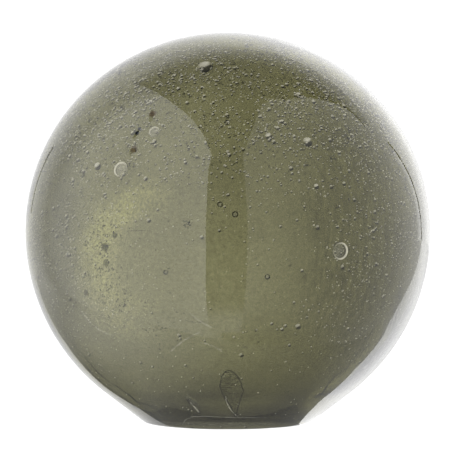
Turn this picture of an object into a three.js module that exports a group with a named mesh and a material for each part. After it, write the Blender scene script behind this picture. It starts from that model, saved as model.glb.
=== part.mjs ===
// Decorative glass ball: one sealed piece of smoky green glass, a little flattened on top,
// whose round belly runs straight down to a flat base that it stands on.
// Millimetres, +Z up. The origin is the centre of the base, on the surface that it stands on.
import * as THREE from "three";

// Driving dimensions
const EQUATOR_RADIUS = 75;
const EQUATOR_HEIGHT = 70.7;
const TOTAL_HEIGHT = 144.3;
const BASE_EDGE_RADIUS = 31;
const BASE_CORNER_RADIUS = 3;

// How finely the round surface is faceted
const TURN_STEPS = 72;
const CORNER_STEPS = 4;
const BELLY_STEPS = 16;
const CROWN_STEPS = 20;

// Colour and finish of the glass
const GLASS_COLOUR = 0x6f7154;
const GLASS_ROUGHNESS = 0.03;

const UNDERSIDE = -Math.PI / 2;
const TOP = Math.PI / 2;

// The angle below the equator at which the straight flank leaves the round belly.
// The flank is the tangent to the belly's circle from the edge of the base.
function flankAngle() {
  const edgeDistance = Math.hypot(BASE_EDGE_RADIUS, EQUATOR_HEIGHT);
  const edgeAngle = Math.atan2(EQUATOR_HEIGHT, BASE_EDGE_RADIUS);
  return edgeAngle - Math.acos(EQUATOR_RADIUS / edgeDistance);
}

// The small arc that rounds the edge between the base and the flank, tangent to both.
function cornerArc(flank) {
  const setback = (BASE_CORNER_RADIUS * (1 - Math.sin(flank))) / Math.cos(flank);
  const centreRadius = BASE_EDGE_RADIUS - setback;
  const size = BASE_CORNER_RADIUS;
  return new THREE.EllipseCurve(centreRadius, size, size, size, UNDERSIDE, -flank);
}

// The belly, below the equator, is part of a circle.
function bellyArc(flank) {
  const size = EQUATOR_RADIUS;
  return new THREE.EllipseCurve(0, EQUATOR_HEIGHT, size, size, -flank, 0);
}

// The crown, above the equator, is half of a flatter ellipse.
function crownArc() {
  const rise = TOTAL_HEIGHT - EQUATOR_HEIGHT;
  return new THREE.EllipseCurve(0, EQUATOR_HEIGHT, EQUATOR_RADIUS, rise, 0, TOP);
}

// Half of the ball's section, from the centre of the base out and up to the top.
// The crown starts on the belly's last point and its own last point is set on the axis.
function ballProfile() {
  const flank = flankAngle();
  return [
    new THREE.Vector2(0, 0),
    ...cornerArc(flank).getPoints(CORNER_STEPS),
    ...bellyArc(flank).getPoints(BELLY_STEPS),
    ...crownArc().getPoints(CROWN_STEPS).slice(1, -1),
    new THREE.Vector2(0, TOTAL_HEIGHT),
  ];
}

function glassBall() {
  const glass = new THREE.MeshStandardMaterial({
    color: GLASS_COLOUR,
    roughness: GLASS_ROUGHNESS,
    metalness: 0,
  });
  const ball = new THREE.Mesh(new THREE.LatheGeometry(ballProfile(), TURN_STEPS), glass);
  ball.name = "glass_ball";
  ball.rotation.x = Math.PI / 2; // a lathe turns about Y, and the ball stands along Z
  return ball;
}

const ornament = new THREE.Group();
ornament.add(glassBall());

export default ornament;
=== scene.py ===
import math
import random

import bmesh
import bpy
from mathutils import Matrix, Vector, geometry, noise


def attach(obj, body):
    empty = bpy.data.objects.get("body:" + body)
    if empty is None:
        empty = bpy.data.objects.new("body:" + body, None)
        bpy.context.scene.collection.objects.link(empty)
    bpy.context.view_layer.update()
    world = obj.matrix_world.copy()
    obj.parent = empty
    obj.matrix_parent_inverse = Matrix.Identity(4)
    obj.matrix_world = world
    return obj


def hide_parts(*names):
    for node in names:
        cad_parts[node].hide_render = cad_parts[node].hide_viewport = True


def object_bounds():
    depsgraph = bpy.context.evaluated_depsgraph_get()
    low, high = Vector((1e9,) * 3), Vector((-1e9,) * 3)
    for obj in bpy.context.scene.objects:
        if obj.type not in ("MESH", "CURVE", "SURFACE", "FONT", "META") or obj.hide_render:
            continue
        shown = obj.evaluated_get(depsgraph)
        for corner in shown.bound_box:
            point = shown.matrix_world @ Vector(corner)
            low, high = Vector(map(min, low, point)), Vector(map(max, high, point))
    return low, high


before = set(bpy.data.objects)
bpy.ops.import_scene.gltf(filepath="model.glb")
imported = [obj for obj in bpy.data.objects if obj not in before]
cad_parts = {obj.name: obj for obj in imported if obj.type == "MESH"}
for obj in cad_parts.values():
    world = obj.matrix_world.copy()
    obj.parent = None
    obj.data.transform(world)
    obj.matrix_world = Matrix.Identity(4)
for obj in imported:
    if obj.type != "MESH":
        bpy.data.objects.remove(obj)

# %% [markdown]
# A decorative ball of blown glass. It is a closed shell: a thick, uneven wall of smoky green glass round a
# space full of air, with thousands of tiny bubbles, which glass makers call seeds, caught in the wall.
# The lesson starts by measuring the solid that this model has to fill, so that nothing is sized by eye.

cad_box = [list(corner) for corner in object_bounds()]
MM = 0.001
TOTAL_HEIGHT = cad_box[1][2]
EQUATOR_RADIUS = cad_box[1][0]
EQUATOR_HEIGHT = 70.7 * MM
CENTRE = Vector((0, 0, EQUATOR_HEIGHT))
print("ball", round(2 * EQUATOR_RADIUS / MM, 1), "mm wide,", round(TOTAL_HEIGHT / MM, 1), "mm high")

# %% [markdown]
# The outside is a body of revolution, like a bowl on a potter's wheel: a round belly, a crown that is a
# little flatter, and a straight flank that runs down to the flat base. Half of its section is a short chain
# of points and arcs. The middle of the base is dished a little, so that the ball stands on a ring.

# %% Section of the outside
BASE_EDGE_RADIUS = 31 * MM
BASE_CORNER_RADIUS = 3 * MM
DISH_RADIUS = 20 * MM
DISH_DEPTH = 0.8 * MM
DISH_SLOPE = 1.5 * MM
CORNER_STEPS = 5
BELLY_STEPS = 28
CROWN_STEPS = 36


def arc(middle, width, height, start, end, steps):
    """Points along part of an ellipse."""
    angles = [start + (end - start) * step / steps for step in range(steps + 1)]
    return [(middle[0] + width * math.cos(a), middle[1] + height * math.sin(a)) for a in angles]


edge_angle = math.atan2(EQUATOR_HEIGHT, BASE_EDGE_RADIUS)
edge_distance = math.hypot(EQUATOR_HEIGHT, BASE_EDGE_RADIUS)
flank = edge_angle - math.acos(EQUATOR_RADIUS / edge_distance)
setback = BASE_CORNER_RADIUS * (1 - math.sin(flank)) / math.cos(flank)
corner_middle = (BASE_EDGE_RADIUS - setback, BASE_CORNER_RADIUS)
crown_rise = TOTAL_HEIGHT - EQUATOR_HEIGHT

section = [(0, DISH_DEPTH), (DISH_RADIUS - DISH_SLOPE, DISH_DEPTH), (DISH_RADIUS, 0)]
section += arc(corner_middle, BASE_CORNER_RADIUS, BASE_CORNER_RADIUS, -math.pi / 2, -flank, CORNER_STEPS)
section += arc((0, EQUATOR_HEIGHT), EQUATOR_RADIUS, EQUATOR_RADIUS, -flank, 0, BELLY_STEPS)
section += arc((0, EQUATOR_HEIGHT), EQUATOR_RADIUS, crown_rise, 0, math.pi / 2, CROWN_STEPS)[1:-1]
section += [(0, TOTAL_HEIGHT)]
print("the section has", len(section), "points")

# %% [markdown]
# A lathe would turn this section into the outside, and the spin operator does the same. The first and last
# copies are merged, and so are the many points that fall together on the axis, top and bottom.

# %% Spin the outside
TURN_STEPS = 160
MERGE_DISTANCE = 0.001 * MM

ball = bmesh.new()
points = [ball.verts.new((radius, 0, height)) for radius, height in section]
edges = [ball.edges.new(pair) for pair in zip(points, points[1:])]
bmesh.ops.spin(
    ball,
    geom=points + edges,
    cent=(0, 0, 0),
    axis=(0, 0, 1),
    angle=2 * math.pi,
    steps=TURN_STEPS,
    use_merge=True,
)
bmesh.ops.remove_doubles(ball, verts=ball.verts, dist=MERGE_DISTANCE)
bmesh.ops.recalc_face_normals(ball, faces=ball.faces)
print("outside:", len(ball.faces), "faces,", round(ball.calc_volume() * 1e6), "cm3")

# %% [markdown]
# Glass that is blown by hand is never even. This wall is thinner on the left than on the right, and it
# swells and thins in slow waves. One function gives its thickness in any direction from the middle of the
# ball, a second one how far the outside is, and everything that lies in the wall is placed with the two.

# %% Thickness of the wall
MEAN_WALL = 5.0 * MM
SIDE_LEAN = 1.6 * MM
WALL_WAVES = 0.55 * MM
WAVE_SCALE = 2.6
WALL_RIPPLES = 0.04 * MM
RIPPLE_PITCH = 8
NEVER_LEVEL = 0.01


def wall(direction):
    """Thickness of the glass on the side that a direction points to."""
    waves = WALL_WAVES * noise.noise(direction * WAVE_SCALE)
    ripples = WALL_RIPPLES * noise.noise(direction * RIPPLE_PITCH)
    return MEAN_WALL + SIDE_LEAN * direction.x + waves + ripples


def reach(direction, depth=0.0, floor_depth=0.0, rounding=0.0):
    """Distance from the middle to the outside, or to a layer that lies at these depths in the glass."""
    level = math.hypot(direction.x, direction.y)
    if direction.z > 0:
        return 1 / math.hypot(level / EQUATOR_RADIUS, direction.z / crown_rise) - depth
    below = math.atan2(-direction.z, level)
    to_side = (EQUATOR_RADIUS - depth) / math.cos(max(below - flank, 0))
    to_floor = (EQUATOR_HEIGHT - floor_depth) / max(math.sin(below), NEVER_LEVEL)
    return (to_side + to_floor - math.hypot(to_side - to_floor, rounding)) / 2


def in_wall(direction, depth):
    """The point at a depth under the outside."""
    return CENTRE + direction * reach(direction, depth, depth)


for side in (-1, 1):
    print("wall at", "left" if side < 0 else "right", round(wall(Vector((side, 0, 0))) / MM, 1), "mm")

# %% [markdown]
# The inner wall follows the outside at the thickness of the glass, down to a flat floor with a rounded
# corner. It starts as a ball of quads, whose points are moved out to their places. Its faces are turned
# round, because they have to point out of the glass and so into the air space.

# %% Inner wall
FLOOR_WALL = 2.2 * MM
FLOOR_ROUNDING = 1 * MM
INNER_TURNS = 160
INNER_RINGS = 110

space = bmesh.new()
bmesh.ops.create_uvsphere(space, u_segments=INNER_TURNS, v_segments=INNER_RINGS, radius=1)
for vert in space.verts:
    direction = vert.co.normalized()
    vert.co = CENTRE + direction * reach(direction, wall(direction), FLOOR_WALL, FLOOR_ROUNDING)
bmesh.ops.reverse_faces(space, faces=space.faces)
print("air space:", round(-space.calc_volume() * 1e6), "cm3")

# %% [markdown]
# The bubbles are placed with two helpers. One turns a place on the photographed side, in millimetres right
# of and above the middle of the ball as the camera sees it, into a direction: a line from the camera
# through that place meets the ball there. The other makes the matrix that sets a small shape into the
# wall, lying flat to the surface, with its own width, height and thickness. A third helper is a soft step,
# for all that fades from one place to another.

# %% Bubble helpers
CAMERA_DISTANCE = 1.2
CAMERA_RISE = math.radians(2.2)
to_camera = Vector((0, -math.cos(CAMERA_RISE), math.sin(CAMERA_RISE)))
eye = CENTRE + to_camera * CAMERA_DISTANCE
view_up = Vector((0, math.sin(CAMERA_RISE), math.cos(CAMERA_RISE)))


def facing(across, up):
    """The direction of a place on the front, in millimetres from the middle of the view."""
    place = CENTRE + Vector((across * MM, 0, 0)) + view_up * up * MM
    hits = geometry.intersect_line_sphere(eye, place, CENTRE, EQUATOR_RADIUS, False)
    nearest = min(hits, key=lambda hit: (hit - eye).length)
    return (nearest - CENTRE).normalized()


def set_in(direction, depth, width, height, thickness, turn=0.0):
    """Matrix that sets a shape of unit radius into the wall."""
    axes = direction.to_track_quat("Z", "Y").to_matrix().to_4x4()
    shape = Matrix.Diagonal((width / 2, height / 2, thickness / 2, 1))
    place = Matrix.Translation(in_wall(direction, depth))
    return place @ axes @ Matrix.Rotation(turn, 4, "Z") @ shape


def ease(low, high, value):
    """A soft step from 0 at the low value to 1 at the high one."""
    share = min(max((value - low) / (high - low), 0), 1)
    return share * share * (3 - 2 * share)


print("the camera is", CAMERA_DISTANCE, "m from the middle of the ball")

# %% [markdown]
# The largest bubbles are real hollows: closed surfaces in the same mesh as the glass, turned inside out
# like the inner wall, so that light bends at them. They are flattened, as bubbles in a blown wall are.

# %% Hollow bubbles
RING_BUBBLES = [(-39.9, 23.0, 5.6), (-27.5, 37.2, 4.0), (41.9, -7.4, 6.2)]
SMALL_HOLLOWS = [
    (-0.3, 41.1, 1.9),
    (-2.9, 10.0, 2.0),
    (2.8, 6.3, 2.2),
    (14.9, -17.2, 1.9),
    (-23.3, -15.5, 1.8),
]
HOLLOW_COVER = 0.8 * MM
RING_FLATNESS = 0.2
SMALL_FLATNESS = 0.6
HOLLOW_DETAIL = 3

hollows = bmesh.new()
for bubbles, flatness in ((RING_BUBBLES, RING_FLATNESS), (SMALL_HOLLOWS, SMALL_FLATNESS)):
    for across, up, width in bubbles:
        thickness = width * MM * flatness
        matrix = set_in(facing(across, up), HOLLOW_COVER + thickness / 2, width * MM, width * MM, thickness)
        bmesh.ops.create_icosphere(hollows, subdivisions=HOLLOW_DETAIL, radius=1, matrix=matrix)
print("hollow bubbles:", len(hollows.faces), "faces")

# %% [markdown]
# A small bubble low on the front was drawn out when the ball was pressed flat: round at the top, pointed
# below and rippled. An unevenly narrowed ball gives this shape, and noise gives the ripples.

# %% Tear bubble
TEAR_PLACE = (-12.6, -64.4)
TEAR_WIDTH = 3.8 * MM
TEAR_HEIGHT = 9.5 * MM
TEAR_TURN = 0.40
TEAR_DEPTH = 2.0 * MM
TEAR_THICKNESS = 0.25 * MM
TEAR_POINT = 0.2
TEAR_TIP = -1.0
TEAR_SHOULDER = 0.3
RIPPLE = 0.10
RIPPLE_SCALE = 5
TEAR_DETAIL = 4


def taper(rise):
    """Width of a tear, as a share, at a height that runs from -1 at its point to 1 at its top."""
    return TEAR_POINT + (1 - TEAR_POINT) * ease(TEAR_TIP, TEAR_SHOULDER, rise)


tear = bmesh.ops.create_icosphere(hollows, subdivisions=TEAR_DETAIL, radius=1)["verts"]
for vert in tear:
    narrow = taper(vert.co.y) * (1 + RIPPLE * noise.noise(vert.co * RIPPLE_SCALE))
    vert.co.x *= narrow
    vert.co.z *= narrow
tear_direction = facing(*TEAR_PLACE)
matrix = set_in(tear_direction, TEAR_DEPTH, TEAR_WIDTH, TEAR_HEIGHT, TEAR_THICKNESS, TEAR_TURN)
bmesh.ops.transform(hollows, matrix=matrix, verts=tear)
bmesh.ops.reverse_faces(hollows, faces=hollows.faces)
print("with the tear bubble:", len(hollows.faces), "faces")

# %% [markdown]
# The three meshes become one piece of glass. Every piece of this model takes the place of the one CAD node
# and rides on the same body, so one helper does that for all of them.

# %% Join the glass
def keep_piece(name, bm):
    """Make a smooth piece of the model from a finished bmesh."""
    for face in bm.faces:
        face.smooth = True
    mesh = bpy.data.meshes.new(name)
    bm.to_mesh(mesh)
    bm.free()
    piece = bpy.data.objects.new(name, mesh)
    bpy.context.scene.collection.objects.link(piece)
    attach(piece, "root")
    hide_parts("glass_ball")
    return piece


GLASS_DENSITY = 2500

joint_mesh = bpy.data.meshes.new("joint")
for part in (space, hollows):
    part.to_mesh(joint_mesh)
    ball.from_mesh(joint_mesh)
    part.free()
bpy.data.meshes.remove(joint_mesh)
glass_volume = ball.calc_volume()
print("glass:", round(glass_volume * 1e6), "cm3,", round(glass_volume * GLASS_DENSITY, 2), "kg")
smoky_ball = keep_piece("smoky_ball", ball)

# %% [markdown]
# Seeds are too small to be hollow here: light would have to bend four times in each, for thousands of
# them. They show as little domes, pale on the side of the light and dark below, so they are made as beads
# just under the surface, and a value on each point, its shine, sets the painted highlight and the painted
# shade there. Growing one mesh bead by bead is slow, so a small tray is filled and emptied into the piece
# again and again.

# %% Bead maker
dice = random.Random(7)
LIGHT_SIDE = Vector((-0.4, 0.0, 0.75))
FRONT_TILT = 0.5
FRONT_FADE = 0.3
TRAY_SIZE = 50

tray = bmesh.new()
tray_shine = tray.verts.layers.float.new("shine")
tray_mesh = bpy.data.meshes.new("tray")


def empty_tray(piece):
    """Move the beads of the tray into a piece."""
    tray.to_mesh(tray_mesh)
    piece.from_mesh(tray_mesh)
    bmesh.ops.delete(tray, geom=tray.verts, context="VERTS")


def new_beads():
    """An empty piece whose points have a shine."""
    piece = bmesh.new()
    piece.verts.layers.float.new("shine")
    return piece


def bead(direction, depth, width, tone=0.0, detail=1, relief=1.0, matrix=None):
    """Add a bead to the tray. Its tone makes it paler or darker, and its relief is the light's effect."""
    lit = LIGHT_SIDE + direction * FRONT_TILT * (1 - ease(-FRONT_FADE, FRONT_FADE, direction.y))
    lit.normalize()
    middle = in_wall(direction, depth)
    if matrix is None:
        pole = lit.to_track_quat("Z", "Y").to_matrix().to_4x4()
        matrix = Matrix.Translation(middle) @ pole @ Matrix.Scale(width / 2, 4)
    made = bmesh.ops.create_icosphere(tray, subdivisions=detail, radius=1, matrix=matrix)["verts"]
    # shine: painted highlight on the side towards LIGHT_SIDE, painted shade on the far side
    for vert in made:
        vert[tray_shine] = tone + relief * (vert.co - middle).normalized().dot(lit)


def random_direction():
    """A direction with no preferred side."""
    height = dice.uniform(-1, 1)
    turn = dice.uniform(-math.pi, math.pi)
    level = math.sqrt(1 - height * height)
    return Vector((level * math.sin(turn), level * math.cos(turn), height))


print("the tray holds", TRAY_SIZE, "beads")

# %% [markdown]
# Dome seeds, mostly under a millimetre across, crowd under the crown and thin out down the sides, in
# drifts. Points are thrown at the whole ball, and each one is kept with a chance that follows this density.

# %% Dome seeds
DOME_COUNT = 9300
DOME_SIZE = 0.75 * MM
DOME_SPREAD = 0.42
LARGEST_DOME = 2.0 * MM
DOME_COVER = 0.15 * MM
DOME_SCATTER = 0.8 * MM
DRIFT_SCALE = 4.5
DRIFT_MEAN = 0.55
DRIFT_SWING = 0.8
BACK_LOSS = 0.6
DOMES_ANYWHERE = 0.03
DOMES_ON_CROWN = 0.9
DOMES_ON_SIDES = 0.35


def drifts(direction, shift=0.0):
    """Uneven seed density, about 0.5 on the front and less at the back."""
    uneven = DRIFT_MEAN + DRIFT_SWING * noise.noise(direction * DRIFT_SCALE + Vector((shift, 0, 0)))
    return min(max(uneven, 0), 1) * (1 - BACK_LOSS * ease(-0.1, 0.4, direction.y))


def dome_density(direction):
    """Chance that a dome seed is kept."""
    crown = ease(0.10, 0.60, direction.z)
    sides = ease(0.35, 0.80, abs(direction.x)) * ease(-0.5, 0.1, direction.z)
    return (DOMES_ANYWHERE + DOMES_ON_CROWN * crown + DOMES_ON_SIDES * sides) * drifts(direction)


dome_seeds = new_beads()
made = 0
while made < DOME_COUNT:
    direction = random_direction()
    if dice.random() > dome_density(direction):
        continue
    size = min(DOME_SIZE * math.exp(dice.gauss(0.0, DOME_SPREAD)), LARGEST_DOME)
    depth = DOME_COVER + size / 2 + DOME_SCATTER * dice.random() ** 2
    bead(direction, depth, size)
    made += 1
    if made % TRAY_SIZE == 0:
        empty_tray(dome_seeds)
empty_tray(dome_seeds)
print("dome seeds:", made, "with", len(dome_seeds.faces), "faces")

# %% [markdown]
# Some domes are larger and were placed where the ball has them. Two of the large hollows look brighter
# inside, so a flat pale bead lies over each of those as painted light.

# %% Large domes
LARGE_DOMES = [
    (-8.6, 63.0, 5.6),
    (-48.9, 24.4, 2.9),
    (30.2, 33.7, 3.6),
    (15.4, 35.7, 2.6),
    (26.7, 51.4, 2.3),
    (33.2, 16.7, 2.0),
    (26.3, -35.8, 2.2),
    (21.5, -35.4, 1.3),
    (-59.1, 28.0, 1.9),
    (55.3, -12.4, 1.5),
    (59.2, -16.6, 1.4),
    (64.2, -20.9, 1.3),
    (57.9, -24.4, 1.4),
    (67.5, -10.5, 1.2),
    (44.9, -36.5, 1.4),
    (27.7, -14.8, 1.2),
    (23.0, -42.6, 1.3),
    (20.3, -36.7, 1.4),
    (16.4, -34.6, 1.2),
    (54.9, 7.1, 1.5),
    (54.4, 0.0, 1.4),
    (57.3, 37.1, 1.5),
    (64.6, 10.6, 1.4),
]
LARGE_DOME_DETAIL = 3
BRIGHT_BUBBLES = RING_BUBBLES[:2]
RING_FILL = 0.85
FILL_TONE = 0.42
FILL_RELIEF = 0.06
FILL_DEPTH = 0.7 * MM
FILL_FLATNESS = 0.1

for across, up, width in LARGE_DOMES:
    size = width * MM
    bead(facing(across, up), DOME_COVER + size / 2, size, detail=LARGE_DOME_DETAIL)
# a flat pale bead over each brighter hollow, as painted light
for across, up, width in BRIGHT_BUBBLES:
    size = RING_FILL * width * MM
    direction = facing(across, up)
    disc = set_in(direction, FILL_DEPTH, size, size, FILL_FLATNESS * size)
    bead(direction, FILL_DEPTH, size, FILL_TONE, LARGE_DOME_DETAIL, FILL_RELIEF, disc)
empty_tray(dome_seeds)
print("with", len(LARGE_DOMES), "larger domes:", len(dome_seeds.faces), "faces")
keep_piece("dome_seeds", dome_seeds)

# %% [markdown]
# The finest seeds are pale dots of half a millimetre, thickest down both sides and under the crown. They
# are thrown like the domes, with a density of their own, and a tone that keeps them pale all round, as a
# painted highlight.

# %% Fine seeds
FINE_COUNT = 6500
FINE_SIZE = 0.48 * MM
FINE_SPREAD = 0.25
LARGEST_FINE = 0.9 * MM
FINE_COVER = 0.1 * MM
FINE_SCATTER = 0.5 * MM
# FINE_TONE keeps the dots pale all round: a painted highlight
FINE_TONE = 0.4
FINE_SHIFT = 9.0
FINE_ANYWHERE = 0.06
FINE_ON_CROWN = 0.45
FINE_ON_SIDES = 0.8


def fine_density(direction):
    """Chance that a fine seed is kept."""
    crown = ease(0.0, 0.6, direction.z)
    sides = ease(0.25, 0.65, abs(direction.x)) * ease(-0.85, -0.2, direction.z)
    chance = FINE_ANYWHERE + FINE_ON_CROWN * crown + FINE_ON_SIDES * sides
    return chance * drifts(direction, FINE_SHIFT)


fine_seeds = new_beads()
made = 0
while made < FINE_COUNT:
    direction = random_direction()
    if dice.random() > fine_density(direction):
        continue
    size = min(FINE_SIZE * math.exp(dice.gauss(0.0, FINE_SPREAD)), LARGEST_FINE)
    depth = FINE_COVER + size / 2 + FINE_SCATTER * dice.random()
    bead(direction, depth, size, tone=FINE_TONE)
    made += 1
    if made % TRAY_SIZE == 0:
        empty_tray(fine_seeds)
empty_tray(fine_seeds)
print("fine seeds:", made, "with", len(fine_seeds.faces), "faces")

# %% [markdown]
# In a few places the seeds are dark specks that lie close together: painted shade, where bubbles look dark
# against the light behind them. Each drift of them has a middle, a spread and a count, and the specks fall
# round the middle like shots round a target.

# %% Specks
SPECK_DRIFTS = [
    (-45.0, -2.0, 9.0, 90),
    (-48.0, -14.0, 9.0, 90),
    (-41.0, -26.0, 10.0, 80),
    (-28.0, -36.0, 9.0, 40),
    (-36.2, 25.0, 2.4, 26),
    (-14.7, 2.6, 1.8, 22),
]
SPECK_SIZE = 0.42 * MM
SMALLEST_SPECK = 0.7
LARGEST_SPECK = 1.5
# dark all round: painted shade
SPECK_TONE = -1.0

for across, up, spread, count in SPECK_DRIFTS:
    for speck in range(count):
        direction = facing(across + dice.gauss(0, spread / 2), up + dice.gauss(0, spread / 2))
        size = SPECK_SIZE * dice.uniform(SMALLEST_SPECK, LARGEST_SPECK)
        bead(direction, FINE_COVER + size, size, tone=SPECK_TONE)
    empty_tray(fine_seeds)
print("with the specks:", len(fine_seeds.faces), "faces")

# %% [markdown]
# Wrinkles in the glass show as fine lines, some pale and some dark: painted highlights and painted shade
# where they bend the light. Each line is a chain of long beads from place to place, bowed to one side.
# Their width sways a little, so that no line looks ruled. The last four are painted glints and the painted
# dark edges of the tear bubbles.

# %% Wrinkles
# pale lines are painted highlights, dark ones painted shade
PALE = 0.385
PALER = PALE + 0.08
DARK = -0.55
WRINKLES = [
    ((-54.0, -30.0), (-42.5, -38.9), -1.5, 0.9, PALE),
    ((-21.4, -45.2), (-10.3, -37.8), 0.8, 1.0, PALE),
    ((-14.0, -30.4), (-5.9, -35.9), -0.5, 0.8, PALE),
    ((-10.3, -41.5), (-2.1, -44.8), 0.6, 0.8, PALE),
    ((-38.1, -0.1), (-28.8, 0.0), 0.3, 0.15, DARK),
    ((-16.0, -33.0), (-8.0, -33.5), -0.6, 0.16, DARK),
    ((-0.8, -61.5), (3.6, -68.3), -1.0, 0.6, PALER),
    ((-13.9, -63.6), (-10.6, -67.0), 0.0, 1.0, PALER),
    ((-14.8, -62.4), (-10.2, -67.4), -1.2, 0.3, DARK),
    ((-14.8, -62.4), (-10.2, -67.4), 1.2, 0.3, DARK),
]
WRINKLE_SWAY = 0.5
WRINKLE_MOTTLE = 0.15
WRINKLE_RELIEF = 0.1
SWAY_PITCH = 60
WRINKLE_STEP = 0.5
WRINKLE_OVERLAP = 1.8
WRINKLE_DEPTH = 0.3 * MM


def chain(places, width, tone, mottle=WRINKLE_MOTTLE):
    """A line of long beads through places on the front."""
    directions = [facing(*spot) for spot in places]
    for first, second in zip(directions, directions[1:]):
        direction = (first + second).normalized()
        sway = WRINKLE_SWAY * noise.noise(direction * SWAY_PITCH)
        thickness = width * (1 + sway) * MM
        run = in_wall(second, WRINKLE_DEPTH) - in_wall(first, WRINKLE_DEPTH)
        aside = run.cross(direction).normalized() * thickness / 2
        along = run * WRINKLE_OVERLAP / 2
        axes = Matrix((aside, along, direction * WRINKLE_DEPTH / 2)).transposed().to_4x4()
        matrix = Matrix.Translation(in_wall(direction, WRINKLE_DEPTH)) @ axes
        bead(direction, WRINKLE_DEPTH, thickness, tone + mottle * sway, 1, WRINKLE_RELIEF, matrix)


def bowed(start, end, bow):
    """Places on a line that bows aside by this much at its middle."""
    start = Vector(start)
    run = Vector(end) - start
    steps = math.ceil(run.length / WRINKLE_STEP)
    aside = Vector((-run.y, run.x)).normalized() * bow
    shares = [step / steps for step in range(steps + 1)]
    return [start + run * share + aside * 4 * share * (1 - share) for share in shares]


for start, end, bow, width, tone in WRINKLES:
    chain(bowed(start, end, bow), width, tone)
    empty_tray(fine_seeds)
print("with the wrinkles:", len(fine_seeds.faces), "faces")

# %% [markdown]
# Down both flanks runs a dark line, a painted reflection where the wall turns towards the base, and a pale
# one, a painted highlight, lies along the dish in the base. Broad flat chains stand for them.

# %% Flank and base lines
FLANK_LINES = [
    ([(-63.4, -36.5), (-60.7, -40.0), (-57.5, -44.3), (-53.8, -48.8)], 0.6),
    ([(-53.8, -48.8), (-49.0, -54.2), (-45.2, -57.4), (-41.5, -59.8), (-37.4, -62.7)], 1.2),
    ([(-37.4, -62.7), (-34.4, -65.0), (-31.1, -66.1), (-28.4, -67.0), (-25.0, -68.9)], 1.6),
    ([(58.0, -37.3), (55.6, -42.1), (52.7, -45.8), (49.7, -49.6), (46.8, -53.3)], 0.8),
    ([(46.8, -53.3), (43.6, -55.7), (41.8, -57.0), (39.1, -59.7), (36.7, -62.8), (34.3, -64.1)], 1.2),
]
BASE_LINE = [
    (-16.3, -70.0), (-15.3, -69.0), (-12.1, -68.2), (-6.6, -68.2),
    (0.8, -68.5), (8.2, -68.5), (15.5, -68.5),
]
BASE_LINE_WIDTH = 0.4
BASE_LINE_TONE = PALE + 0.04

for places, width in FLANK_LINES:
    # a painted dark reflection down each flank, then a painted highlight along the dish
    chain(places, width, DARK)
chain(BASE_LINE, BASE_LINE_WIDTH, BASE_LINE_TONE)
empty_tray(fine_seeds)
print("with the flank lines:", len(fine_seeds.faces), "faces")

# %% [markdown]
# A longer tear bubble stands above the middle of the base. What shows of it is its dark edge and a mottled
# grey inside, both painted light and shade, so it is drawn with chains: one round the outline, and short
# rows across.

# %% Long tear bubble
LEAF_MIDDLE = (1.7, -60.2)
LEAF_HALF_WIDTH = 4.2
LEAF_HALF_HEIGHT = 8.4
LEAF_LEAN = 0.16
LEAF_RAGGED = 0.15
RAGGED_PITCH = 5
LEAF_STEPS = 70
LEAF_ROWS = 24
ROW_SHARES = (-0.9, -0.5, 0.0, 0.5, 0.9)
LEAF_LINE = 0.5
LEAF_SHADE = -0.2
LEAF_MOTTLE = 1.7


def leaf(side, rise):
    """A place in the long tear bubble. Both numbers run from -1 to 1."""
    width = LEAF_HALF_WIDTH * taper(rise)
    width *= 1 + LEAF_RAGGED * noise.noise(Vector((RAGGED_PITCH * side, RAGGED_PITCH * rise, 0)))
    across = LEAF_MIDDLE[0] + side * width - LEAF_LEAN * LEAF_HALF_HEIGHT * rise
    return (across, LEAF_MIDDLE[1] + LEAF_HALF_HEIGHT * rise)


turns = [2 * math.pi * step / LEAF_STEPS for step in range(LEAF_STEPS + 1)]
# the dark outline is painted shade, and the rows are mottled painted shade and highlight
chain([leaf(math.cos(turn), math.sin(turn)) for turn in turns], LEAF_LINE, DARK)
for row in range(1, LEAF_ROWS):
    rise = 2 * row / LEAF_ROWS - 1
    half = math.sqrt(1 - rise * rise)
    chain([leaf(half * share, rise) for share in ROW_SHARES], LEAF_LINE, LEAF_SHADE, LEAF_MOTTLE)
empty_tray(fine_seeds)
print("with the long tear bubble:", len(fine_seeds.faces), "faces")
keep_piece("fine_seeds", fine_seeds)
tray.free()
bpy.data.meshes.remove(tray_mesh)

# %% [markdown]
# A large bubble catches the light as a bright ring that is thickest towards the side of the ball. Each ring
# is a small circle spun round into a hoop, then thinned on one side and laid over its hollow.

# %% Rings of light
RING_STEPS = 40
TUBE_SIDES = 8
TUBE_SHARE = 0.16
THIN_SIDE = 0.3
RING_DEPTH = 0.5 * MM
RING_SIZE = 0.9
LEAST_SHINE = 0.35
SHINE_RISE = 0.6

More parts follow.
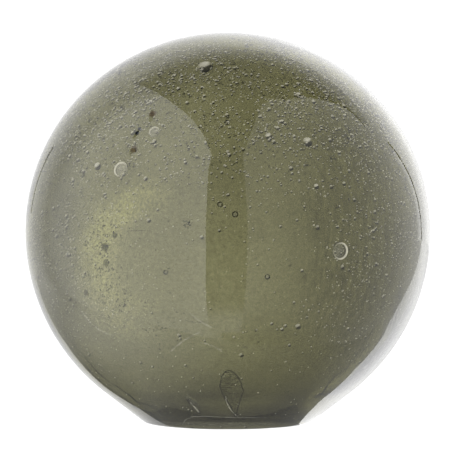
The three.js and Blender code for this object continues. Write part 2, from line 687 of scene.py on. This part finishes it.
rings = new_beads()
ring_shine = rings.verts.layers.float["shine"]
for across, up, width in RING_BUBBLES:
    upright_turn = Matrix.Rotation(math.pi / 2, 4, "X")
    place = Matrix.Translation((1, 0, 0)) @ upright_turn
    tube = bmesh.ops.create_circle(rings, segments=TUBE_SIDES, radius=TUBE_SHARE, matrix=place)["verts"]
    old = set(rings.verts) - set(tube)
    tube_edges = list({edge for vert in tube for edge in vert.link_edges})
    bmesh.ops.spin(
        rings,
        geom=tube + tube_edges,
        cent=(0, 0, 0),
        axis=(0, 0, 1),
        angle=2 * math.pi,
        steps=RING_STEPS,
        use_merge=True,
    )
    hoop = [vert for vert in rings.verts if vert not in old]
    lit_turn = math.atan2(up, across)
    for vert in hoop:
        turn = math.atan2(vert.co.y, vert.co.x)
        lit = (1 + math.cos(turn - lit_turn)) / 2
        fat = THIN_SIDE + (1 - THIN_SIDE) * lit
        from_middle = math.hypot(vert.co.x, vert.co.y)
        vert.co.xy *= (1 + (from_middle - 1) * fat) / from_middle
        vert.co.z *= fat
        vert[ring_shine] = LEAST_SHINE + SHINE_RISE * lit
    size = RING_SIZE * width * MM
    matrix = set_in(facing(across, up), RING_DEPTH, size, size, size)
    bmesh.ops.transform(rings, matrix=matrix, verts=hoop)
bmesh.ops.recalc_face_normals(rings, faces=rings.faces)
print("rings of light:", len(rings.faces), "faces")
keep_piece("light_rings", rings)

# %% [markdown]
# The finishes are worked out by small formulas. A class wraps a shader socket, so that plain Python
# arithmetic on it adds the Math nodes, and one method makes any other node.

# %% Shader maths
class Wire:
    """A shader socket that Python arithmetic works on."""

    def __init__(self, tree, socket=None):
        self.tree = tree
        self.socket = socket

    def node(self, kind, settings, inputs, output=0):
        made = self.tree.nodes.new(kind)
        for name, value in settings.items():
            setattr(made, name, value)
        for name, value in inputs.items():
            if isinstance(value, Wire):
                self.tree.links.new(value.socket, made.inputs[name])
            else:
                made.inputs[name].default_value = value
        return Wire(self.tree, made.outputs[output])

    def maths(self, operation, *values):
        return self.node("ShaderNodeMath", {"operation": operation}, dict(enumerate(values)))

    def __add__(self, other):
        return self.maths("ADD", self, other)

    def __radd__(self, other):
        return self.maths("ADD", other, self)

    def __sub__(self, other):
        return self.maths("SUBTRACT", self, other)

    def __mul__(self, other):
        return self.maths("MULTIPLY", self, other)

    def __rmul__(self, other):
        return self.maths("MULTIPLY", other, self)

    def __pow__(self, other):
        return self.maths("POWER", self, other)

    def __rpow__(self, other):
        return self.maths("POWER", other, self)

    def __abs__(self):
        return self.maths("ABSOLUTE", self)

    def between(self, low, high, start=0.0, end=1.0):
        settings = {"interpolation_type": "SMOOTHSTEP"}
        inputs = {"Value": self, "From Min": low, "From Max": high, "To Min": start, "To Max": end}
        return self.node("ShaderNodeMapRange", settings, inputs)

    def part(self, axis):
        return self.node("ShaderNodeSeparateXYZ", {}, {0: self}, "XYZ".index(axis))

    def mix(self, first, second):
        settings = {"data_type": "RGBA"}
        return self.node("ShaderNodeMix", settings, {0: self, 6: first, 7: second}, 2)

    def dot(self, direction):
        inputs = {0: self, 1: direction}
        return self.node("ShaderNodeVectorMath", {"operation": "DOT_PRODUCT"}, inputs, "Value")

    def feed(self, socket):
        self.tree.links.new(self.socket, socket)


print(Wire.__doc__)

# %% [markdown]
# The glass is clear and see-through: full transmission, no roughness and the refraction of common glass.
# Its smoky green comes from absorption inside the wall, so thick places are darker, as in real glass.
# The absorption takes more blue than red or green.

# %% Smoky green glass
ABSORPTION = (151, 154, 226)
GLASS_IOR = 1.5

glass = bpy.data.materials.new("smoky_green_glass")
glass.use_nodes = True
shader = glass.node_tree.nodes["Principled BSDF"]
shader.inputs["Transmission Weight"].default_value = 1
shader.inputs["Roughness"].default_value = 0
shader.inputs["IOR"].default_value = GLASS_IOR
smoke = glass.node_tree.nodes.new("ShaderNodeVolumeAbsorption")
strongest = max(ABSORPTION)
smoke.inputs["Density"].default_value = strongest
smoke.inputs["Color"].default_value = (*[1 - amount / strongest for amount in ABSORPTION], 1)
glass.node_tree.links.new(smoke.outputs[0], glass.node_tree.nodes["Material Output"].inputs["Volume"])
smoky_ball.data.materials.append(glass)
print("the glass absorbs", ABSORPTION, "of red, green and blue in a metre")

# %% [markdown]
# The melt was not stirred well: there are clouds in it, and fine upright cords on the right. All of them
# are noise on the object's own coordinates, from slow clouds to a grain as fine as the seeds.

# %% Clouds and cords in the glass
CORD_STRETCH = (1, 1, 0.035)

place = Wire(glass.node_tree).node("ShaderNodeTexCoord", {}, {}, "Object")
across = place.part("X")
inwards = place.part("Y")
height = place.part("Z")


def cloud(scale, detail, stretch=(1, 1, 1)):
    """Noise over the piece. A small stretch along an axis draws the pattern out."""
    spot = place.node("ShaderNodeMapping", {}, {"Vector": place, "Scale": stretch})
    return place.node("ShaderNodeTexNoise", {}, {"Vector": spot, "Scale": scale, "Detail": detail})


slow_clouds = cloud(26, 4)
smudges = cloud(150, 3)
mottle = cloud(170, 5)
grain = cloud(900, 3)
cords = cloud(620, 2, CORD_STRETCH)
print("clouds:", len(glass.node_tree.nodes), "nodes")

# %% [markdown]
# Low on the left the glass is lighter and yellower along a crescent, a patch of painted light. It is a band
# round part of a circle, which fades at its ends and is broken up by two of the noises.

# %% Crescent of painted light
CRESCENT_MIDDLE = (-23.2 * MM, EQUATOR_HEIGHT - 11.4 * MM)
CRESCENT_RADIUS = 25 * MM
CRESCENT_RAGGED = 20 * MM

from_x = across - CRESCENT_MIDDLE[0]
from_z = height - CRESCENT_MIDDLE[1]
from_middle = (from_x * from_x + from_z * from_z) ** 0.5
off_band = abs(from_middle - CRESCENT_RADIUS) + CRESCENT_RAGGED * (mottle - 0.5)
crescent = off_band.between(2 * MM, 8 * MM, 1.0, 0.0) * from_x.between(-14 * MM, 8 * MM, 1.0, 0.0)
crescent = crescent * from_z.between(-28 * MM, -18 * MM) * mottle.between(0.3, 0.6, 0.3, 1.0)
crescent = crescent * grain.between(0.42, 0.56, 0.2, 1.2)
print("with the crescent:", len(glass.node_tree.nodes), "nodes")

# %% [markdown]
# Each of these tints the surface a little. So does the form of the ball, with painted shade: it is darker
# low down, at the left limb and most of all round the edge of the base, where the wall is seen along its
# length, and it is greyer low down and on top. The middle of the base is left clear, so that the white
# table shows through it.

# %% Tint of the glass and painted shade
PLAIN_TONE = 0.74
CLOUD_AMOUNT = 0.08
CRESCENT_AMOUNT = 0.30
CORD_AMOUNT = 0.28
GRAIN_AMOUNT = 0.13
SMUDGE_AMOUNT = 0.10
LOW_AMOUNT = 0.11
LIMB_AMOUNT = 0.2
GREYER = (0.66, 0.66, 0.80, 1)
BASE_SHADE = (0.40, 0.40, 0.50, 1)
CORNER_SHADE = (0.20, 0.20, 0.34, 1)
CRESCENT_LIGHT = (1.0, 1.0, 0.66, 1)
GREYER_SHARE = 0.3
BASE_SHARE = 0.6
CORNER_SHARE = 0.9
CRESCENT_LIGHT_SHARE = 0.3
LOW_ASIDE = 0.6
LOW_DOWN = 0.8

right_side = across.between(18 * MM, 48 * MM)
# left_limb, low, base, corner and high place the painted shade of the ball's form
left_limb = across.between(-62 * MM, -50 * MM, 1.0, 0.0)
from_axis = (across * across + inwards * inwards) ** 0.5
outer = from_axis.between(25 * MM, 29 * MM)
lowness = LOW_ASIDE * abs(across) - LOW_DOWN * (height - EQUATOR_HEIGHT)
low = lowness.between(30 * MM, 75 * MM) * outer
base = height.between(2 * MM, 14 * MM, 1.0, 0.0) * outer
corner = height.between(1 * MM, 5 * MM, 1.0, 0.0) * outer
high = height.between(EQUATOR_HEIGHT + 40 * MM, EQUATOR_HEIGHT + 70 * MM)

# the crescent adds painted light
tone = PLAIN_TONE + CLOUD_AMOUNT * slow_clouds.between(0.35, 0.7) + CRESCENT_AMOUNT * crescent
tone = tone + CORD_AMOUNT * right_side * (cords.between(0.35, 0.65) - 0.6)
tone = tone + GRAIN_AMOUNT * (grain.between(0.3, 0.7) - 0.5)
# darker low down and at the left limb: painted shade
tone = tone - SMUDGE_AMOUNT * smudges.between(0.62, 0.72) - LOW_AMOUNT * low - LIMB_AMOUNT * left_limb
tint = tone.mix((0, 0, 0, 1), (1, 1, 1, 1))
# painted shade: greyer low down and on top, and darker at the base and its corner
tint = (GREYER_SHARE * low + GREYER_SHARE * high).mix(tint, GREYER)
tint = (BASE_SHARE * base).mix(tint, BASE_SHADE)
tint = (CORNER_SHARE * corner).mix(tint, CORNER_SHADE)
# painted light along the crescent, lighter and yellower
tint = (CRESCENT_LIGHT_SHARE * crescent).mix(tint, CRESCENT_LIGHT)
print("with the tints:", len(glass.node_tree.nodes), "nodes")

# %% [markdown]
# High on the left are three small painted reflections, one blue and two brown, and lower down the glass is
# darker in a few places. Each is a soft spot round a place in the glass.

# %% Painted reflections and dark spots
SPOT_CORE = 0.5
GLINTS_AND_DARK_SPOTS = [
    ((-33.8, 36.6), 1.2, (0.003, 0.006, 0.04, 1)),
    ((-33.0, 38.2), 1.0, (0.003, 0.006, 0.04, 1)),
    ((-28.0, 43.8), 1.9, (0.16, 0.08, 0.04, 1)),
    ((-34.9, 30.4), 1.9, (0.16, 0.09, 0.04, 1)),
    ((-45.4, -5.9), 2.0, (0.16, 0.17, 0.13, 1)),
    ((-45.1, -11.8), 1.7, (0.16, 0.17, 0.13, 1)),
    ((-52.5, -22.9), 1.6, (0.18, 0.17, 0.14, 1)),
    ((-41.8, -1.5), 1.4, (0.20, 0.21, 0.17, 1)),
]
# the blue and brown spots are painted reflections, and the grey ones darken the glass
for spot, size, colour in GLINTS_AND_DARK_SPOTS:
    middle = in_wall(facing(*spot), 0)
    away = place.node("ShaderNodeVectorMath", {"operation": "DISTANCE"}, {0: place, 1: middle}, "Value")
    tint = away.between(SPOT_CORE * size * MM, size * MM, 1.0, 0.0).mix(tint, colour)
tint.feed(shader.inputs["Base Color"])
print("glints_and_dark_spots:", len(GLINTS_AND_DARK_SPOTS))

# %% [markdown]
# A bubble lets the glass behind it show, so the skin of the beads can be seen only where it is pale,
# towards the light, and where it is dark, on the far side. In between it is clear. The pale side is a
# painted highlight and the dark side painted shade, and the skin glows a little as painted light, where
# light would come through the hollow middle of a real bubble.

# %% Bubble skin: painted highlight, shade and glow
SKIN_ROUGHNESS = 0.4
PAINTED_GLOW = 0.4
PAINTED_SHADE = (0.02, 0.02, 0.012, 1)
PAINTED_HIGHLIGHT = (0.62, 0.60, 0.49, 1)
DARK_COVER = 0.9
PALE_COVER = 0.95

skin = bpy.data.materials.new("bubble_painted_light")
skin.use_nodes = True
shader = skin.node_tree.nodes["Principled BSDF"]
shader.inputs["Roughness"].default_value = SKIN_ROUGHNESS
shader.inputs["Specular IOR Level"].default_value = 0
shader.inputs["Emission Strength"].default_value = PAINTED_GLOW
shine = Wire(skin.node_tree).node("ShaderNodeAttribute", {"attribute_name": "shine"}, {}, "Fac")
pale = shine.between(0.3, 0.8)
dark = shine.between(-0.65, -0.15, 1.0, 0.0)
colour = shine.between(-0.2, 0.2).mix(PAINTED_SHADE, PAINTED_HIGHLIGHT)
(PALE_COVER * pale + DARK_COVER * dark).feed(shader.inputs["Alpha"])
colour.feed(shader.inputs["Base Color"])
# the painted highlight and shade also glow, as painted light
colour.feed(shader.inputs["Emission Color"])
for name in ("dome_seeds", "fine_seeds", "light_rings"):
    bpy.data.objects[name].data.materials.append(skin)
    print("bubble skin on", name)

# %% [markdown]
# A clear ball shows little of itself and much of the room. A white world and a glowing white floor stand
# for a studio in which everything is lit, and cards round the ball, seen only in its reflections, stand for
# the softbox on the left, the dark ceiling, the dark gap in front, the bright backdrop and the table.
# A flat card is one face with a glowing finish, whose light can fade along an axis.

# %% Glowing cards
def glow(name, strength, base=0.0, fades=()):
    """A glowing finish. Each fade gives an axis, where it starts and ends, and the light at both."""
    paint = bpy.data.materials.new(name)
    paint.use_nodes = True
    surface = paint.node_tree.nodes["Principled BSDF"]
    surface.inputs["Base Color"].default_value = (base, base, base, 1)
    surface.inputs["Roughness"].default_value = 1
    surface.inputs["Specular IOR Level"].default_value = 0
    surface.inputs["Emission Color"].default_value = (1, 1, 1, 1)
    surface.inputs["Emission Strength"].default_value = strength
    if fades:
        spot = Wire(paint.node_tree).node("ShaderNodeTexCoord", {}, {}, "Object")
        share = 1.0
        for axis, start, end, first, last in fades:
            share = spot.part(axis).between(start, end, first, last) * share
        share.mix((0, 0, 0, 1), (1, 1, 1, 1)).feed(surface.inputs["Emission Color"])
    return paint


def hang(name, bm, paint):
    """Hang a card that only reflections see."""
    sheet = bpy.data.meshes.new(name)
    bm.to_mesh(sheet)
    bm.free()
    sheet.materials.append(paint)
    panel = bpy.data.objects.new(name, sheet)
    bpy.context.scene.collection.objects.link(panel)
    panel.visible_camera = False
    panel.visible_transmission = False


def card(name, corners, strength, *fades):
    """A flat card with these corners."""
    bm = bmesh.new()
    bm.faces.new([bm.verts.new(corner) for corner in corners])
    hang(name, bm, glow(name, strength, fades=fades))


print("cards are seen only in reflections")

# %% [markdown]
# The first three cards are small dark things whose reflections lie over the three painted blue and brown
# marks. Their corners were found by following lines from the camera off the ball.

# %% Small things in the room
SMALL_THINGS = [
    ("blue_thing", 0.05, [(-0.354, -0.100, 0.490), (-0.353, -0.112, 0.488), (-0.366, -0.129, 0.473),
                          (-0.378, -0.127, 0.462), (-0.381, -0.119, 0.462), (-0.367, -0.104, 0.477)]),
    ("high_thing", 0.7, [(-0.284, -0.036, 0.546), (-0.283, -0.070, 0.545), (-0.295, -0.103, 0.533),
                         (-0.309, -0.112, 0.522), (-0.310, -0.091, 0.525), (-0.298, -0.051, 0.537)]),
    ("low_thing", 0.7, [(-0.401, -0.157, 0.429), (-0.386, -0.178, 0.437), (-0.386, -0.196, 0.428),
                        (-0.401, -0.186, 0.417), (-0.408, -0.197, 0.403), (-0.412, -0.173, 0.410)]),
]
for name, strength, corners in SMALL_THINGS:
    card(name, corners, strength)
print("small things:", len(SMALL_THINGS))

# %% [markdown]
# The softbox is a large upright card on the left. To the right of its reflection is a dark upright band,
# the gap between the lights. The softbox gets dimmer towards the table, and the gap paler.

# %% Softbox and gap
SOFTBOX_NEAR = (-0.12, -1.3)
SOFTBOX_FAR = (-1.0, 0.7)
SOFTBOX_BOTTOM = -2.6
SOFTBOX_TOP = 1.7
SOFTBOX_LIGHT = 2.2
GAP_LIGHT = 1.3
FRONT = -0.9
CEILING = 0.97

softbox = [
    (*SOFTBOX_NEAR, SOFTBOX_BOTTOM),
    (*SOFTBOX_FAR, SOFTBOX_BOTTOM),
    (*SOFTBOX_FAR, SOFTBOX_TOP),
    (*SOFTBOX_NEAR, SOFTBOX_TOP),
]
card("left_softbox", softbox, SOFTBOX_LIGHT, ("Y", 0.0, 0.6, 1.0, 0.5), ("Z", -2.2, -0.5, 0.45, 1.0))
gap = [
    (-0.235, -1.2), (0.168, -1.2), (0.162, CEILING), (-0.178, CEILING),
    (-0.196, 0.76), (-0.184, 0.45), (-0.184, -0.1), (-0.215, -0.6),
]
card("front_gap", [(x, FRONT, z) for x, z in gap], GAP_LIGHT, ("Z", -0.95, -0.55, 1.0, 0.2))
print("softbox and gap are up")

# %% [markdown]
# The ceiling is dark, and its edges show in the crown of the ball as two curves that meet the gap. Where a
# reflection has a soft edge, the card is a ribbon: a strip between two paths, with a light at each of their
# points that blends across.

# %% Dark ceiling
CEILING_LIGHT = 1.3
CEILING_EDGE = 0.05
CEILING_RIM = 0.4
CEILING_STEP = (0.02, -0.02)


def ribbon(name, near, far, steps=6):
    """A card between two paths. Each of their points has a place and a light, which blend softly across."""
    bm = bmesh.new()
    light = bm.verts.layers.float.new("light")
    rows = []
    for step in range(steps + 1):
        row = []
        for start, end in zip(near, far):
            x, y, z, _ = Vector(start).lerp(Vector(end), step / steps)
            row.append(bm.verts.new((x, y, z)))
            row[-1][light] = start[3] + (end[3] - start[3]) * ease(0, steps, step)
        rows.append(row)
    for first, second in zip(rows, rows[1:]):
        for spot in range(len(near) - 1):
            bm.faces.new((first[spot], first[spot + 1], second[spot + 1], second[spot]))
    paint = glow(name, 1.0)
    amount = Wire(paint.node_tree).node("ShaderNodeAttribute", {"attribute_name": "light"}, {}, "Fac")
    colour = amount.node("ShaderNodeCombineColor", {}, {0: amount, 1: amount, 2: amount})
    colour.feed(paint.node_tree.nodes["Principled BSDF"].inputs["Emission Color"])
    hang(name, bm, paint)


def moved(points, step, light):
    """A path for a ribbon: points that are moved along the floor plan and have a light."""
    return [(x + step[0], y + step[1], z, light) for x, y, z in points]


ceiling_right = [
    (0.162, FRONT), (0.235, -0.15), (0.345, -0.022), (0.467, 0.142), (0.609, 0.295),
    (0.836, 0.533), (1.163, 0.695),
]
ceiling_left = [
    (-0.636, 0.82), (-0.506, 0.364), (-0.389, -0.024), (-0.2735, -0.325), (-0.207, -0.572), (-0.181, -0.82),
]
ceiling = [*ceiling_right, (1.2, 0.82), *ceiling_left, (-0.178, FRONT)]
card("dark_ceiling", [(x, y, CEILING) for x, y in ceiling], CEILING_LIGHT, ("Y", 0.3, 0.82, 0.2, 1.0))
soft_edge = [(x, y, CEILING) for x, y in ceiling_right[2:]]
rim = moved(soft_edge, CEILING_STEP, CEILING_RIM)
ribbon("ceiling_edge", moved(soft_edge, (0, 0), CEILING_EDGE), rim)
print("ceiling is up")

# %% [markdown]
# The bright backdrop stands behind the ball, and its reflection makes the pale right limb. Thin dark
# ribbons are its two upright edges, which show as fine lines near the limbs, and past the right one the
# light is brighter still.

# %% Backdrop
BACKDROP_LIGHT = 2.3
EDGE_LIGHT = 0.3
GLOW_LIGHT = 2.7
GLOW_END = 1.8
RIGHT_STEP = (0.026, -0.011)
GLOW_STEP = (0.15, -0.063)
LEFT_STEP = (-0.05, -0.02)
right_edge = [(0.781, 0.915, -0.006), (0.824, 0.898, 0.207), (0.964, 0.842, 0.543), (1.0, 0.827, 0.62)]
left_edge = [(-0.93, 1.57, 0.10), (-0.9375, 1.5525, 0.221), (-0.955, 1.529, 0.329), (-0.992, 1.46, 0.528)]

backdrop = [(0.15, 1.17, -0.006), *right_edge, (0.15, 1.17, 0.62)]
card("backdrop", backdrop, BACKDROP_LIGHT, ("X", 0.25, 0.62, 0.6, 1.0), ("Z", 0.1, 0.5, 1.0, 1.5))
ribbon("backdrop_edge", moved(right_edge, (0, 0), EDGE_LIGHT), moved(right_edge, RIGHT_STEP, EDGE_LIGHT))
glow_path = right_edge[:3]
ribbon("edge_glow", moved(glow_path, RIGHT_STEP, GLOW_LIGHT), moved(glow_path, GLOW_STEP, GLOW_END))
ribbon("backdrop_edge_left", moved(left_edge, (0, 0), EDGE_LIGHT), moved(left_edge, LEFT_STEP, EDGE_LIGHT))
print("backdrop is up")

# %% [markdown]
# The table near the ball is in its shade, and on the right it is bright paper. The border between the two
# shows in the lower right flank, so both are ribbons whose paths follow it. A point of the shade has its
# place on the table and its light. A point of the paper has its near and its far border.

# %% Table
PAPER_LIGHT = 2.6
PAPER_END = 1.4
shade_near = [
    (-0.25, 0.30, 0, 1.0),
    (-0.098, 0.055, 0, 0.5),
    (-0.056, 0.0113, 0, 0.15),
    (-0.0365, -0.013, 0, 0.2),
    (-0.026, -0.020, 0, 0.35),
    (-0.016, -0.0266, 0, 0.35),
    (0.0, -0.031, 0, 0.4),
    (0.016, -0.0266, 0, 0.4),
    (0.0265, -0.0176, 0, 0.4),
    (0.0398, -0.0160, 0, 0.6),
    (0.0661, -0.0088, 0, 0.9),
    (0.1053, 0.0163, 0, 1.2),
]
shade_far = [
    (-0.33, 0.26, 0, 1.15),
    (-0.17, 0.0, 0, 1.3),
    (-0.13, -0.035, 0, 1.85),
    (-0.095, -0.065, 0, 2.2),
    (-0.072, -0.082, 0, 2.15),
    (-0.038, -0.088, 0, 1.6),
    (0.0, -0.085, 0, 0.75),
    (0.03, -0.076, 0, 0.7),
    (0.055, -0.06, 0, 0.65),
    (0.068, -0.048, 0, 0.8),
    (0.085, -0.03, 0, 0.95),
    (0.12, 0.0, 0, 1.2),
]
paper = [
    (0.0265, -0.0176, -0.006),
    (0.0398, -0.0160, 0.013),
    (0.0661, -0.0088, 0.067),
    (0.1053, 0.0163, 0.17),
    (0.12, 0.0216, 0.213),
    (0.1507, 0.0462, 0.306),
    (0.196, 0.0955, 0.45),
    (0.78, 0.915, 1.9),
]

ribbon("table_shade", shade_near, shade_far)
paper_near = [(x, near, 0, PAPER_LIGHT) for x, near, far in paper]
paper_far = [(x, far, 0, PAPER_END) for x, near, far in paper]
ribbon("bright_table", paper_near, paper_far)
print("table is up")

# %% [markdown]
# The floor glows about as brightly as the world behind it, so no horizon shows through the glass. It is
# hidden from reflections, where the world below the horizon takes its place.

# %% Floor
FLOOR_HALF = 4
FLOOR_DROP = 0.2 * MM
FLOOR_GLOW = 1.05
FLOOR_WHITE = 0.25

bm = bmesh.new()
bmesh.ops.create_grid(bm, x_segments=1, y_segments=1, size=FLOOR_HALF)
sheet = bpy.data.meshes.new("floor")
bm.to_mesh(sheet)
bm.free()
sheet.materials.append(glow("white_floor", FLOOR_GLOW, FLOOR_WHITE))
floor = bpy.data.objects.new("floor", sheet)
floor.location.z = -FLOOR_DROP
floor.visible_glossy = False
bpy.context.scene.collection.objects.link(floor)
print("the floor is", 2 * FLOOR_HALF, "m wide")

# %% [markdown]
# The world is white all round, with three soft bright areas behind the ball that make its limbs glow. Each
# has a direction, a tightness and a strength. Straight down it is dimmer.

# %% World
SOFT_LIGHTS = [
    ((0.80, 0.50, 0.10), 5, 0.75),
    ((0.302, 0.830, 0.469), 14, 1.1),
    ((-0.476, 0.868, 0.14), 6, 0.25),
]

world = bpy.data.worlds.new("white_studio")
world.use_nodes = True
room = world.node_tree.nodes["Background"]
room.inputs["Color"].default_value = (1, 1, 1, 1)
around = Wire(world.node_tree).node("ShaderNodeTexCoord", {}, {}, "Generated")


def soft_light(direction, tightness, strength):
    """A soft bright area of the world round a direction."""
    nearness = around.dot(Vector(direction).normalized()) - 1
    return strength * (math.e ** (tightness * nearness))


light = 1.0
for direction, tightness, strength in SOFT_LIGHTS:
    light = light + soft_light(direction, tightness, strength)
light = light * around.part("Z").between(-0.98, -0.6, 0.45, 1.0)
light.feed(room.inputs["Strength"])
bpy.context.scene.world = world
print("soft lights in the world:", len(SOFT_LIGHTS))

# %% [markdown]
# The camera looks from a little above the middle of the ball. Its lens follows from how large the ball is
# in the picture, and its small shift from where the ball's middle is.

# %% Camera
IMAGE_SIZE = 450
BALL_RADIUS_IN_IMAGE = 202.8
SHIFT_RIGHT = -2.8
SHIFT_UP = 6.1
SENSOR = 36

camera = bpy.data.cameras.new("camera")
camera.sensor_width = SENSOR
half_angle = math.asin(EQUATOR_RADIUS / CAMERA_DISTANCE)
camera.lens = BALL_RADIUS_IN_IMAGE / math.tan(half_angle) * SENSOR / IMAGE_SIZE
camera.shift_x = SHIFT_RIGHT / IMAGE_SIZE
camera.shift_y = SHIFT_UP / IMAGE_SIZE
viewer = bpy.data.objects.new("camera", camera)
viewer.location = eye
viewer.rotation_euler = to_camera.to_track_quat("Z", "Y").to_euler()
bpy.context.scene.collection.objects.link(viewer)
bpy.context.scene.camera = viewer
print("lens", round(camera.lens), "mm")

# %% [markdown]
# Light crosses many surfaces on its way through the walls and the bubbles, so more bounces than usual are
# allowed.

# %% Finish
MOST_BOUNCES = 32
GLOSSY_BOUNCES = 16

scene = bpy.context.scene
scene.view_settings.view_transform = "Standard"
scene.cycles.max_bounces = MOST_BOUNCES
scene.cycles.transmission_bounces = MOST_BOUNCES
scene.cycles.glossy_bounces = GLOSSY_BOUNCES
